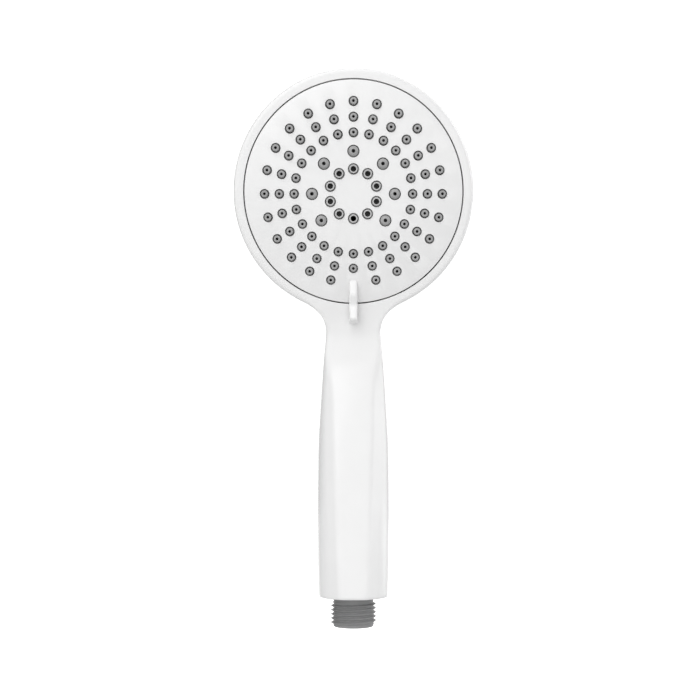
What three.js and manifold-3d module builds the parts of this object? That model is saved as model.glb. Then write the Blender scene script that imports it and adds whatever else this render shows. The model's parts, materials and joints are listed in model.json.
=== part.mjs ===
// A handheld shower head with a turning three-spray face, a selector lever and a G 1/2 inlet.
// Millimetres, +Z up along the handle. The origin is the centre of the inlet's end face, and the
// spray face looks towards -Y and downwards.
import * as THREE from "three";
import { mergeVertices } from "three/addons/utils/BufferGeometryUtils.js";
import Module from "manifold-3d";

const wasm = await Module();
wasm.setup();

// Driving dimensions
const FACE_TILT = 23.56; // degrees between the spray face and the handle's axis
const FACE_CENTRE = new THREE.Vector3(0, -43.1, 197.1);
const HEAD_RADIUS = 57.1;
const HEAD_BACK_DEPTH = 29; // from the widest point of the head to the back of its bowl
const RIM_DEPTH = 2.76; // from the spray face to the widest point of the head
const MOUTH_RADIUS = 52.05; // opening of the bowl round the spray face
const FACE_RADIUS = 51.65;
const WALL = 2.4; // moulded wall of the shell
const GAP = 0.3; // between neighbouring pieces
const FINE_GAP = 0.15; // between small neighbouring pieces
const SPRAY_STEP = 30; // degrees between two spray positions

const THREAD_RADIUS = 10.4775; // G 1/2: 20.955 across
const THREAD_PITCH = 1.814;
const THREAD_DEPTH = 1.162;
const THREAD_LENGTH = 12.2;
const HANDLE_BOTTOM = 12.5;
const TUBE_RADIUS = 5.5;
const TUBE_BORE = 4;
const TUBE_DEPTH = 16.6; // of the tube's upper end behind the spray face
const TUBE_BEND_RADIUS = 35;
const CARTRIDGE_BORE = 7.7;
const CARTRIDGE_RADIUS = 7.4;

// Heights in the head, along the normal of its spray face; 0 is the face itself
const PLATE_BACK = -2.2;
const SKIRT_BACK = -8;
const MAT_FRONT = -2.4;
const MAT_BACK = -3.4;
const RIB_FRONT = -3.6;
const DISTRIBUTOR_FRONT = -4.3;
const DISTRIBUTOR_BACK = -5.3;
const GASKET_FRONT = -5.4;
const GASKET_BACK = -5.8;
const CHANNEL_FRONT = -5.9;
const CHANNEL_FLOOR = -7.3;
const CHANNEL_BACK = -8.5;
const VALVE_FRONT = -9.1;
const VALVE_FLANGE_BACK = -13;

// Spray nozzles: ring radius, number of places round it, and the places left out
const RAIN_RINGS = [
  { radius: 28, places: 24, leftOut: [] },
  { radius: 35, places: 24, leftOut: [] },
  { radius: 42, places: 24, leftOut: [12] },
];
const MASSAGE_RADIUS = 19.6;
const MASSAGE_ANGLES = [0, 45, 90, 129, -129, -90, -45];
const JET_RING = { radius: 11.46, places: 10, leftOut: [] };
const RAIN = { hole: 2.32, base: 1.8, tip: 1.6, bore: 0.66, height: 1.1 };
const MASSAGE = { hole: 2.92, base: 2.6, tip: 2.1, bore: 0.85, height: 0.95 };
const JET = { hole: 2.68, base: 2, tip: 1.95, bore: 1.33, height: 0.95 };
const LEVER_WIDTH = 4.2;
const NOZZLE_SIDES = 6;
const BOWL_SIDES = 44;
const INLET_SIDES = 20;
const ROUND_SIDES = 20;

const PORT_RADIUS = 11; // of the ports' centres round the pivot
const PORT_HOLE = 2;
const PIVOT_HOLE = 1.9;
const HUB_RADIUS = 4.5; // round the pivot
const DETENT_RADIUS = 21;
const VALVE_SCREW_RADIUS = 19;
const VALVE_SCREW_ANGLES = [60, 120, 240, 300];
const ROTOR_SCREW_RADIUS = 33;
const ROTOR_SCREW_ANGLES = [60, 120, 240, 300];

// Materials
const WHITE_ABS = { color: 0xf2f2f0, roughness: 0.28, metalness: 0 };
const GREY_ACETAL = { color: 0x77787a, roughness: 0.5, metalness: 0 };
const DARK_ACETAL = { color: 0x4a4c50, roughness: 0.5, metalness: 0 };
const GREY_SILICONE = { color: 0x9a9a9a, roughness: 0.6, metalness: 0 };
const LIGHT_PLASTIC = { color: 0xbcbcbc, roughness: 0.45, metalness: 0 };
const BLACK_RUBBER = { color: 0x1d1d1f, roughness: 0.75, metalness: 0 };
const STEEL = { color: 0xc4c6c8, roughness: 0.3, metalness: 1 };

const radians = THREE.MathUtils.degToRad;

// The head's own frame: +Z out of the spray face, +Y up along it
const head = new THREE.Group();
head.position.copy(FACE_CENTRE);
head.rotation.x = radians(90 + FACE_TILT);
head.updateMatrix();

const shower = new THREE.Group();
shower.add(head);

function addPart(group, name, solid, look, place = [0, 0]) {
  const mesh = new THREE.Mesh(geometryOf(solid), new THREE.MeshStandardMaterial(look));
  mesh.name = name;
  mesh.position.set(place[0], place[1], 0);
  group.add(mesh);
}

// One mesh for each place, numbered from 1
function addCopies(group, name, solid, look, places) {
  places.forEach((place, index) => addPart(group, `${name}_${index + 1}`, solid, look, place));
}

function solidOf(geometry) {
  const bare = geometry.clone();
  bare.deleteAttribute("normal");
  bare.deleteAttribute("uv");
  const merged = mergeVertices(bare);
  return new wasm.Manifold(
    new wasm.Mesh({
      numProp: 3,
      vertProperties: merged.attributes.position.array,
      triVerts: new Uint32Array(merged.index.array),
    }),
  );
}

function geometryOf(solid) {
  const mesh = solid.getMesh();
  const geometry = new THREE.BufferGeometry();
  geometry.setAttribute("position", new THREE.BufferAttribute(mesh.vertProperties, 3));
  geometry.setIndex(new THREE.BufferAttribute(mesh.triVerts, 1));
  geometry.computeVertexNormals();
  return geometry;
}

function joined(solids) {
  return solids.reduce((whole, solid) => whole.add(solid));
}

// A closed profile of [radius, height] points turned round the Z axis
function turned(profile, sides = 32) {
  const points = profile.map(([radius, height]) => new THREE.Vector2(radius, height));
  return solidOf(new THREE.LatheGeometry(points, sides).rotateX(Math.PI / 2));
}

function cylinder(radius, bottom, top, sides = ROUND_SIDES, topRadius = radius) {
  const height = top - bottom;
  const geometry = new THREE.CylinderGeometry(topRadius, radius, height, sides);
  return solidOf(geometry.rotateX(Math.PI / 2).translate(0, 0, bottom + height / 2));
}

function ring(inner, outer, bottom, top, sides = 32) {
  const profile = [
    [inner, bottom],
    [outer, bottom],
    [outer, top],
    [inner, top],
    [inner, bottom],
  ];
  return turned(profile, sides);
}

function oRing(radius, section, height) {
  const geometry = new THREE.TorusGeometry(radius, section, 5, 16);
  return solidOf(geometry.translate(0, 0, height));
}

// A block from one corner to the other
function block(low, high) {
  const size = high.map((value, axis) => value - low[axis]);
  const centre = low.map((value, axis) => value + size[axis] / 2);
  return solidOf(new THREE.BoxGeometry(...size).translate(...centre));
}

// An outline of [y, z] points, given thickness in X on both sides of the middle
function sideProfile(outline, thickness) {
  const shape = new THREE.Shape(outline.map(([y, z]) => new THREE.Vector2(y, z)));
  const settings = { depth: thickness, bevelEnabled: false };
  const geometry = new THREE.ExtrudeGeometry(shape, settings).translate(0, 0, -thickness / 2);
  return solidOf(geometry.rotateY(Math.PI / 2).rotateX(Math.PI / 2));
}

// A round wire or tube along a curve
function alongCurve(curve, radius, steps, sides) {
  const section = new THREE.Shape();
  for (let side = 0; side <= sides; side += 1) {
    const angle = (2 * Math.PI * side) / sides;
    const point = [radius * Math.cos(angle), radius * Math.sin(angle)];
    if (side === 0) section.moveTo(...point);
    else section.lineTo(...point);
  }
  const settings = { steps, extrudePath: curve, bevelEnabled: false };
  return solidOf(new THREE.ExtrudeGeometry(section, settings));
}

class Helix extends THREE.Curve {
  constructor(radius, bottom, top, turns) {
    super();
    Object.assign(this, { radius, bottom, top, turns });
  }

  getPoint(t, target = new THREE.Vector3()) {
    const angle = 2 * Math.PI * this.turns * t;
    const height = this.bottom + (this.top - this.bottom) * t;
    return target.set(this.radius * Math.cos(angle), this.radius * Math.sin(angle), height);
  }
}

function coilSpring(radius, wire, bottom, top, turns) {
  const steps = 8 * turns;
  return alongCurve(new Helix(radius, bottom + wire, top - wire, turns), wire, steps, 4);
}

// A place on the spray face; angles run clockwise from the top, seen from the front
function placeOnFace(radius, angle) {
  return [radius * Math.sin(radians(angle)), radius * Math.cos(radians(angle))];
}

function ringPlaces({ radius, places, leftOut }) {
  const all = Array.from({ length: places }, (_, place) => place);
  return all
    .filter((place) => !leftOut.includes(place))
    .map((place) => placeOnFace(radius, (360 * place) / places));
}

function repeated(solid, places) {
  return joined(places.map(([x, y]) => solid.translate([x, y, 0])));
}

// Copies a solid made in the head's frame into the handle's frame
function fromHead(solid) {
  return solid.transform(head.matrix.elements.slice());
}

// Handle and shell

// Half-width, front and back of the handle at each height, [height, half width, front, back]
const HANDLE_STATIONS = [
  [12.5, 14.6, -12.6, 12.6],
  [14, 15.5, -13.5, 13.5],
  [29, 16.4, -14.2, 14.2],
  [47, 16.85, -14.6, 14.6],
  [66, 17.1, -14.8, 14.8],
  [86, 16.9, -14.8, 14.8],
  [106, 16.0, -14.6, 14.8],
  [126, 15.1, -14.6, 14.6],
  [136, 14.5, -15.4, 13.8],
  [142, 14.1, -16.6, 12.9],
  [148, 14.3, -19.4, 11.5],
  [154, 14.8, -22.6, 9.5],
  [162, 15, -25.6, 6.2],
  [170, 14.2, -27, 2.4],
  [178, 12.5, -28, -1.4],
  [190, 7, -32, -9],
];

const HANDLE_TOP = HANDLE_STATIONS.at(-1)[0];

// The handle as a stack of ovals; inset leaves room for the hollow inside
function handleSolid(inset, lowest, highest) {
  const sides = 24;
  const stations = HANDLE_STATIONS.filter(([height]) => height > lowest && height < highest);
  const rows = [stationAt(lowest), ...stations, stationAt(highest)];
  const geometry = new THREE.CylinderGeometry(1, 1, 1, sides, rows.length - 1).rotateX(Math.PI / 2);
  const position = geometry.attributes.position;
  for (let index = 0; index < position.count; index += 1) {
    const row = Math.round((position.getZ(index) + 0.5) * (rows.length - 1));
    const [height, halfWidth, front, back] = rows[row];
    const x = position.getX(index) * (halfWidth - inset);
    const y = position.getY(index) * ((back - front) / 2 - inset);
    position.setXYZ(index, x, y + (front + back) / 2, height);
  }
  return solidOf(geometry);
}

function stationAt(height) {
  const next = HANDLE_STATIONS.findIndex(([station]) => station >= height);
  const upper = HANDLE_STATIONS[next];
  const lower = HANDLE_STATIONS[Math.max(next - 1, 0)];
  const share = upper === lower ? 0 : (height - lower[0]) / (upper[0] - lower[0]);
  return lower.map((value, column) => value + share * (upper[column] - value));
}

function ellipsePoints(halfWidth, depth, fromAngle, steps) {
  return Array.from({ length: steps + 1 }, (_, step) => {
    const angle = radians(fromAngle + ((90 - fromAngle) * step) / steps);
    const radius = step === steps ? 0 : halfWidth * Math.cos(angle);
    return [radius, -RIM_DEPTH - depth * Math.sin(angle)];
  });
}

function bowlOutside() {
  const edge = 2.3; // width of the rounded edge of the rim
  const roundedEdge = [60, 30].map((angle) => [
    HEAD_RADIUS - edge + edge * Math.cos(radians(angle)),
    -RIM_DEPTH + RIM_DEPTH * Math.sin(radians(angle)),
  ]);
  const back = ellipsePoints(HEAD_RADIUS, HEAD_BACK_DEPTH, 0, 8);
  return turned([[0, 0], [HEAD_RADIUS - edge, 0], ...roundedEdge, ...back].reverse(), BOWL_SIDES);
}

function bowlInside() {
  const halfWidth = HEAD_RADIUS - WALL;
  const start = THREE.MathUtils.radToDeg(Math.acos(MOUTH_RADIUS / halfWidth));
  const back = ellipsePoints(halfWidth, HEAD_BACK_DEPTH - WALL, start, 5);
  return turned([[0, 1], [MOUTH_RADIUS, 1], ...back].reverse(), BOWL_SIDES);
}

function valveScrewPlaces() {
  return VALVE_SCREW_ANGLES.map((angle) => placeOnFace(VALVE_SCREW_RADIUS, angle));
}

function bodyShell() {
  const endWall = 3;
  const hollowTop = 178;
  const outside = handleSolid(0, HANDLE_BOTTOM, HANDLE_TOP).add(fromHead(bowlOutside()));
  const handleHollow = handleSolid(WALL, HANDLE_BOTTOM + endWall, hollowTop);
  const hollow = handleHollow.add(fromHead(bowlInside()));
  const inletHole = cylinder(THREAD_RADIUS + 0.4, 0, HANDLE_BOTTOM + endWall + 1);
  const bossFront = VALVE_FLANGE_BACK - GAP;
  const boss = cylinder(3.4, -28.6, bossFront, 12).subtract(cylinder(1.8, -23, 0, 8));
  const bosses = fromHead(repeated(boss, valveScrewPlaces()));
  return outside.subtract(hollow).subtract(inletHole).add(bosses);
}

// Inlet tube

const TUBE_END = -26; // of the tube, along the face from its centre
const TUBE_ORING_PLACES = [-30, -34];

// A thread as a wave that climbs one pitch a turn, between plain ends at the thread's root
function threadedSpigot() {
  const rootRadius = THREAD_RADIUS - THREAD_DEPTH;
  const plainEnd = 0.8;
  const step = THREAD_PITCH / 4;
  const steps = Math.floor((THREAD_LENGTH - plainEnd) / step);
  const rows = Array.from({ length: steps }, (_, index) => [THREAD_RADIUS, plainEnd + index * step]);
  const outline = [[0, 0], [rootRadius, 0], ...rows, [rootRadius, THREAD_LENGTH], [0, THREAD_LENGTH]];
  const points = outline.map(([radius, height]) => new THREE.Vector2(radius, height));
  const geometry = new THREE.LatheGeometry(points, INLET_SIDES).rotateX(Math.PI / 2);
  const position = geometry.attributes.position;
  for (let index = 0; index < position.count; index += 1) {
    const x = position.getX(index);
    const y = position.getY(index);
    const height = position.getZ(index);
    if (Math.hypot(x, y) < (THREAD_RADIUS + rootRadius) / 2) continue;
    const turn = Math.atan2(y, x) / (2 * Math.PI);
    const wave = 0.5 + 0.5 * Math.cos(2 * Math.PI * (height / THREAD_PITCH - turn));
    const scale = (rootRadius + THREAD_DEPTH * wave) / THREAD_RADIUS;
    position.setXYZ(index, x * scale, y * scale, height);
  }
  return solidOf(geometry);
}

// The tube's path: up the handle, then forwards until it lies parallel to the spray face
function tubePath(start, end) {
  const tilt = radians(FACE_TILT);
  const up = new THREE.Vector3(0, 0, 1);
  const alongFace = new THREE.Vector3(0, -Math.sin(tilt), Math.cos(tilt));
  const outOfFace = new THREE.Vector3(0, -Math.cos(tilt), -Math.sin(tilt));
  const onTube = FACE_CENTRE.clone().addScaledVector(outOfFace, -TUBE_DEPTH);
  const corner = up.clone().multiplyScalar(onTube.z + (onTube.y / Math.sin(tilt)) * Math.cos(tilt));
  const tangent = TUBE_BEND_RADIUS * Math.tan(tilt / 2);
  const path = new THREE.CurvePath();
  const bendStart = corner.clone().addScaledVector(up, -tangent);
  const bendEnd = corner.clone().addScaledVector(alongFace, tangent);
  path.add(new THREE.LineCurve3(new THREE.Vector3(0, 0, start), bendStart));
  path.add(new THREE.QuadraticBezierCurve3(bendStart, corner, bendEnd));
  path.add(new THREE.LineCurve3(bendEnd, onTube.addScaledVector(alongFace, end)));
  return path;
}

function inletTube() {
  const shoulder = HANDLE_BOTTOM + 3 + GAP;
  const straightTop = 44;
  const outside = turned([
    [0, THREAD_LENGTH - 0.2],
    [THREAD_RADIUS - 0.1, THREAD_LENGTH - 0.2],
    [THREAD_RADIUS - 0.1, shoulder + 2],
    [9.6, shoulder + 3],
    [9.6, 32],
    [TUBE_RADIUS, 38],
    [TUBE_RADIUS, straightTop],
    [0, straightTop],
  ], INLET_SIDES);
  const bore = turned([
    [0, -1],
    [CARTRIDGE_BORE, -1],
    [CARTRIDGE_BORE, 29],
    [TUBE_BORE, 34],
    [TUBE_BORE, straightTop],
    [0, straightTop],
  ], INLET_SIDES);
  const upper = alongCurve(tubePath(straightTop - 1, TUBE_END), TUBE_RADIUS, 14, 14);
  const upperBore = alongCurve(tubePath(straightTop - 2, TUBE_END + 1), TUBE_BORE, 14, 10);
  const lugs = block([-11.9, -3, shoulder], [11.9, 3, shoulder + 2.5]);
  const whole = threadedSpigot().add(outside).add(lugs).add(upper).subtract(bore).subtract(upperBore);
  return whole.subtract(fromHead(tubeOringGrooves()));
}

// Turns a solid made round Z into one round the tube's upper end, in the head's frame
function roundTubeEnd(solid, along) {
  return solid.rotate([-90, 0, 0]).translate([0, along, -TUBE_DEPTH]);
}

function tubeOringGrooves() {
  const groove = ring(TUBE_RADIUS - 0.9, TUBE_RADIUS + 1, -0.9, 0.9, 16);
  return joined(TUBE_ORING_PLACES.map((along) => roundTubeEnd(groove, along)));
}

function tubeOring(along) {
  const section = 0.45;
  return roundTubeEnd(oRing(TUBE_RADIUS - 0.35, section, 0), along);
}

// Inlet cartridges, from the inlet upwards

const SCREEN_BOTTOM = 1.6;
const REGULATOR_BOTTOM = 4;
const CHECK_BOTTOM = 9.4;
const CHECK_TOP = 23.6;

function filterScreen() {
  const sheet = cylinder(CARTRIDGE_RADIUS - 0.6, SCREEN_BOTTOM + 0.6, SCREEN_BOTTOM + 1.2);
  const edge = ring(CARTRIDGE_RADIUS - 1, CARTRIDGE_RADIUS, SCREEN_BOTTOM, SCREEN_BOTTOM + 2, ROUND_SIDES);
  const hole = block([-0.6, -0.6, SCREEN_BOTTOM], [0.6, 0.6, SCREEN_BOTTOM + 2]);
  const holes = [];
  for (let row = -2; row <= 2; row += 1) {
    for (let column = -2; column <= 2; column += 1) {
      const place = [2.2 * row, 2.2 * column];
      if (Math.hypot(...place) < 5.4) holes.push(place);
    }
  }
  return sheet.subtract(repeated(hole, holes)).add(edge);
}

// Three or more bars from the middle to a ring
function spokes(count, reach, width, bottom, top) {
  const bar = block([0, -width / 2, bottom], [reach, width / 2, top]);
  return joined(Array.from({ length: count }, (_, index) => bar.rotate([0, 0, (360 * index) / count])));
}

function flowRegulatorBody() {
  const top = REGULATOR_BOTTOM + 5;
  const wall = ring(5.9, CARTRIDGE_RADIUS, REGULATOR_BOTTOM, top, ROUND_SIDES);
  const hub = cylinder(2.2, REGULATOR_BOTTOM, top - 1, 16);
  return wall.add(hub).add(spokes(4, 6.4, 1.2, REGULATOR_BOTTOM, REGULATOR_BOTTOM + 1.2));
}

function flowRegulatorRing() {
  return oRing(4, 1.2, REGULATOR_BOTTOM + 2.6);
}

const STEM_RADIUS = 1.3;

function checkValveCage() {
  const seatTop = CHECK_BOTTOM + 1.6;
  const wall = ring(6.2, CARTRIDGE_RADIUS, CHECK_BOTTOM, CHECK_TOP, ROUND_SIDES);
  const seat = ring(3.6, 6.8, CHECK_BOTTOM, seatTop, ROUND_SIDES);
  const guideBottom = CHECK_TOP - 2;
  const guide = cylinder(2.7, guideBottom, CHECK_TOP, 16).add(spokes(3, 6.8, 1.4, guideBottom, CHECK_TOP));
  const guideHole = cylinder(STEM_RADIUS + GAP, guideBottom - 1, CHECK_TOP + 1, 16);
  const groove = ring(CARTRIDGE_RADIUS - 0.8, CARTRIDGE_RADIUS + 1, 13, 15, ROUND_SIDES);
  return wall.add(seat).add(guide.subtract(guideHole)).subtract(groove);
}

function checkValveOring() {
  return oRing(CARTRIDGE_RADIUS - 0.1, 0.36, 14);
}

const POPPET_BOTTOM = CHECK_BOTTOM + 1.6 + FINE_GAP;

function checkValvePoppet() {
  const disc = cylinder(5, POPPET_BOTTOM, POPPET_BOTTOM + 1.3);
  return disc.add(cylinder(STEM_RADIUS, POPPET_BOTTOM + 0.5, CHECK_TOP + 0.8, 16));
}

function checkValveSpring() {
  const bottom = POPPET_BOTTOM + 1.3 + FINE_GAP;
  return coilSpring(2.1, 0.3, bottom, CHECK_TOP - 2 - FINE_GAP, 5);
}

// Turning spray face

function nozzlePlaces() {
  return {
    rain: RAIN_RINGS.flatMap(ringPlaces),
    massage: MASSAGE_ANGLES.map((angle) => placeOnFace(MASSAGE_RADIUS, angle)),
    jets: ringPlaces(JET_RING),
  };
}

const LEVER_FOOT = { halfWidth: 1.3, inner: -50, outer: -46 };

function leverSlot() {
  const { halfWidth, inner, outer } = LEVER_FOOT;
  return block(
    [-halfWidth - FINE_GAP, inner - FINE_GAP, PLATE_BACK - 1],
    [halfWidth + FINE_GAP, outer + FINE_GAP, 1],
  );
}

function facePlate() {
  const skirt = 1.9;
  const plate = turned([
    [0, PLATE_BACK],
    [FACE_RADIUS - skirt, PLATE_BACK],
    [FACE_RADIUS - skirt, SKIRT_BACK],
    [FACE_RADIUS, SKIRT_BACK],
    [FACE_RADIUS, 0],
    [0, 0],
  ], BOWL_SIDES);
  const places = nozzlePlaces();
  const hole = (radius) => cylinder(radius, PLATE_BACK - 1, 1, NOZZLE_SIDES);
  const holes = repeated(hole(RAIN.hole), places.rain)
    .add(repeated(hole(MASSAGE.hole), places.massage))
    .add(repeated(hole(JET.hole), places.jets));
  return plate.subtract(holes).subtract(leverSlot());
}

function nozzle({ base, tip, height }) {
  return cylinder(base, MAT_FRONT - 0.5, height, NOZZLE_SIDES, tip);
}

function nozzleBore({ bore, height }) {
  return cylinder(bore, MAT_BACK - 1, height + 1, 4);
}

function nozzleMat() {
  const places = nozzlePlaces();
  const sheet = ring(15.4, 46.4, MAT_BACK, MAT_FRONT);
  const nozzles = repeated(nozzle(RAIN), places.rain).add(repeated(nozzle(MASSAGE), places.massage));
  const bores = repeated(nozzleBore(RAIN), places.rain).add(repeated(nozzleBore(MASSAGE), places.massage));
  const slot = block([-2.2, -51, MAT_BACK - 1], [2.2, -44.6, 0]);
  return sheet.add(nozzles).subtract(bores).subtract(slot);
}

function centreJetDisc() {
  const places = nozzlePlaces().jets;
  const sheet = cylinder(15, MAT_BACK, MAT_FRONT, 36);
  return sheet.add(repeated(nozzle(JET), places)).subtract(repeated(nozzleBore(JET), places));
}

function selectorLever() {
  const overRim = 0.5; // clearance above the rim of the shell
  const outline = [
    [-40.7, 0.15],
    [-45, 3.2],
    [-47.5, 4.4],
    [-52.5, 4.9],
    [-56, 6.7],
    [-58.6, 8.2],
    [-59.6, 8.3],
    [-61.4, 4.4],
    [-60.6, 2.2],
    [-58.5, overRim],
    [-51, overRim],
    [-50.6, 0.15],
  ];
  const { halfWidth, inner, outer } = LEVER_FOOT;
  const foot = block([-halfWidth, inner, PLATE_BACK - 0.8], [halfWidth, outer, 1]);
  return sideProfile(outline, LEVER_WIDTH).add(foot);
}

// The water ways behind the nozzles: spray position, and the ring of nozzles it feeds
const WATERWAYS = [
  { angle: 180 - SPRAY_STEP, outlet: MASSAGE_RADIUS },
  { angle: 180, outlet: PORT_RADIUS },
  { angle: 180 + SPRAY_STEP, outlet: 31 },
];

function outlets(radius, bottom, top) {
  return joined(
    WATERWAYS.map(({ angle, outlet }) => {
      const [x, y] = placeOnFace(outlet, angle);
      return cylinder(radius, bottom, top, 8).translate([x, y, 0]);
    }),
  );
}

function rotorScrewPlaces() {
  return ROTOR_SCREW_ANGLES.map((angle) => placeOnFace(ROTOR_SCREW_RADIUS, angle));
}

function distributorPlate() {
  const plate = cylinder(49.3, DISTRIBUTOR_BACK, DISTRIBUTOR_FRONT, 32);
  const rib = (inner, outer) => ring(inner, outer, DISTRIBUTOR_FRONT - 0.3, RIB_FRONT);
  const ribs = joined([rib(14, 15.8), rib(23, 24.4), rib(44.8, 46.4)]);
  const screwPost = cylinder(2.6, DISTRIBUTOR_FRONT - 0.3, RIB_FRONT, 12);
  const posts = repeated(screwPost, rotorScrewPlaces());
  const screwHoles = repeated(cylinder(1.5, DISTRIBUTOR_BACK - 1, RIB_FRONT - 0.2, 8), rotorScrewPlaces());
  return plate
    .add(ribs)
    .add(posts)
    .subtract(screwHoles)
    .subtract(outlets(PORT_HOLE, DISTRIBUTOR_BACK - 1, 0))
    .subtract(cylinder(HUB_RADIUS + 0.1, DISTRIBUTOR_BACK - 1, 0));
}

const CHANNEL_RADIUS = 37;

function channelGasket() {
  return cylinder(CHANNEL_RADIUS, GASKET_BACK, GASKET_FRONT, 32)
    .subtract(outlets(PORT_HOLE + 0.2, GASKET_BACK - 1, 0))
    .subtract(repeated(cylinder(1.7, GASKET_BACK - 1, 0, 8), rotorScrewPlaces()))
    .subtract(cylinder(HUB_RADIUS + 0.1, GASKET_BACK - 1, 0));
}

function channelGrooves() {
  return joined(
    WATERWAYS.map(({ angle, outlet }) => {
      const middle = Math.max(outlet - PORT_RADIUS, 0.1);
      const groove = block([-1.6, -middle, CHANNEL_FLOOR], [1.6, 0, 0]);
      return joined([
        groove,
        cylinder(PORT_HOLE, CHANNEL_BACK - 1, 0, 8),
        cylinder(PORT_HOLE, CHANNEL_FLOOR, 0, 8).translate([0, -middle, 0]),
      ])
        .translate([0, -PORT_RADIUS, 0])
        .rotate([0, 0, 180 - angle]);
    }),
  );
}

function channelPlate() {
  const notch = turned([
    [0, -1],
    [2.6, -1],
    [1.9, 0.8],
    [0, 0.8],
  ], 12).translate([0, DETENT_RADIUS, CHANNEL_BACK]);
  const notches = [-SPRAY_STEP, 0, SPRAY_STEP].map((angle) => notch.rotate([0, 0, angle]));
  const screwHoles = repeated(cylinder(1.5, CHANNEL_BACK - 1, 0, 8), rotorScrewPlaces());
  return cylinder(CHANNEL_RADIUS, CHANNEL_BACK, CHANNEL_FRONT, 32)
    .subtract(channelGrooves())
    .subtract(joined(notches))
    .subtract(screwHoles)
    .subtract(cylinder(PIVOT_HOLE, CHANNEL_BACK - 1, 0, 16));
}

// A pan-head screw along Z: its head is at the top, or at the bottom when it points upwards
function screw({ head: headRadius, headHeight, shank, length }) {
  const slot = 0.5;
  return turned([
    [0, -length],
    [shank, -length + 0.8],
    [shank, 0],
    [headRadius, 0],
    [headRadius, headHeight * 0.6],
    [headRadius * 0.75, headHeight],
    [0, headHeight],
  ], 6).subtract(
    block([-slot / 2, -headRadius, headHeight - 0.6], [slot / 2, headRadius, headHeight + 1]),
  );
}

function rotorScrew() {
  const one = screw({ head: 2.5, headHeight: 1.3, shank: 1.2, length: 3.9 });
  return one.rotate([180, 0, 0]).translate([0, 0, CHANNEL_BACK - FINE_GAP]);
}

const PIVOT_WASHER_TOP = CHANNEL_FRONT + 0.6;

function pivotWasher() {
  return ring(PIVOT_HOLE, 4.2, CHANNEL_FRONT + 0.05, PIVOT_WASHER_TOP, ROUND_SIDES);
}

function pivotScrew() {
  const one = screw({ head: 3.4, headHeight: 1.3, shank: PIVOT_HOLE - FINE_GAP, length: 12 });
  return one.translate([0, 0, PIVOT_WASHER_TOP + FINE_GAP / 2]);
}

// Fixed valve body and what it carries

const POCKET = { y: -PORT_RADIUS, radius: 3.7, wall: 5.1, floor: -14.6 };
const BOSS_RADIUS = 7.3;
const BOSS_TOP = -5; // along the face from its centre
const BOSS_LENGTH = 35;
const BOSS_END_WALL = 3;
const BOSS_BORE = TUBE_RADIUS + 0.25;

function valveBody() {
  const flange = cylinder(25, VALVE_FLANGE_BACK, VALVE_FRONT, 36);
  const hub = cylinder(HUB_RADIUS, -19.5, VALVE_FRONT);
  const boss = roundTubeEnd(cylinder(BOSS_RADIUS, -BOSS_LENGTH, 0), BOSS_TOP);
  const bore = roundTubeEnd(cylinder(BOSS_BORE, -BOSS_LENGTH - 5, -BOSS_END_WALL), BOSS_TOP);
  const sleeve = cylinder(POCKET.wall, POCKET.floor - 1.2, VALVE_FRONT).translate([0, POCKET.y, 0]);
  const pocket = cylinder(POCKET.radius, POCKET.floor, 0).translate([0, POCKET.y, 0]);
  const throat = cylinder(2.2, -18, 0, 16).translate([0, POCKET.y, 0]);
  const screwHole = cylinder(1.7, -20, 0, 8).add(cylinder(3, VALVE_FRONT - 2, 0, 12));
  const clipSeat = block([-3.2, 15.4, VALVE_FRONT - 1.4], [3.2, 26, 0]);
  return flange
    .add(hub)
    .add(boss)
    .subtract(bore)
    .add(sleeve)
    .subtract(pocket)
    .subtract(throat)
    .subtract(repeated(screwHole, valveScrewPlaces()))
    .subtract(clipSeat)
    .subtract(cylinder(PIVOT_HOLE, -18, 0, 16));
}

function valveBodyScrew() {
  const one = screw({ head: 2.6, headHeight: 1.4, shank: 1.4, length: 9 });
  return one.translate([0, 0, VALVE_FRONT - 2 + FINE_GAP]);
}

function portSeal() {
  const back = POCKET.floor + 2.8;
  const outer = POCKET.radius - FINE_GAP;
  const cup = ring(1.9, outer, back, CHANNEL_BACK - 0.1, ROUND_SIDES);
  const recess = ring(2.6, outer - 0.5, back - 1, back + 1.2, ROUND_SIDES);
  return cup.subtract(recess).translate([0, POCKET.y, 0]);
}

function portSealSpring() {
  const spring = coilSpring(2.9, 0.3, POCKET.floor + 0.1, POCKET.floor + 2.7, 3);
  return spring.translate([0, POCKET.y, 0]);
}

// A steel strip, bent up into a bump that rests in one of the channel plate's notches
function detentSpring() {
  const thickness = 0.4;
  const floor = VALVE_FRONT - 1.3;
  const centre = DETENT_RADIUS;
  const bump = [
    [-5.2, floor],
    [-3.2, floor],
    [-1.1, CHANNEL_BACK + 0.1],
    [1.1, CHANNEL_BACK + 0.1],
    [3.2, floor],
    [4.6, floor],
  ];
  const top = bump.map(([y, z]) => [centre + y, z + thickness]);
  const under = bump.map(([y, z]) => [centre + y, z]).reverse();
  return sideProfile([...under, ...top], 2.4);
}

addPart(shower, "body_shell", bodyShell(), WHITE_ABS);
addPart(shower, "inlet_tube", inletTube(), GREY_ACETAL);
addPart(shower, "filter_screen", filterScreen(), STEEL);
addPart(shower, "flow_regulator_body", flowRegulatorBody(), LIGHT_PLASTIC);
addPart(shower, "flow_regulator_ring", flowRegulatorRing(), BLACK_RUBBER);
addPart(shower, "check_valve_cage", checkValveCage(), LIGHT_PLASTIC);
addPart(shower, "check_valve_oring", checkValveOring(), BLACK_RUBBER);
addPart(shower, "check_valve_poppet", checkValvePoppet(), DARK_ACETAL);
addPart(shower, "check_valve_spring", checkValveSpring(), STEEL);
TUBE_ORING_PLACES.forEach((along, index) => {
  addPart(head, `tube_oring_${index + 1}`, tubeOring(along), BLACK_RUBBER);
});
addPart(head, "valve_body", valveBody(), DARK_ACETAL);
addCopies(head, "valve_body_screw", valveBodyScrew(), STEEL, valveScrewPlaces());
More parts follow.
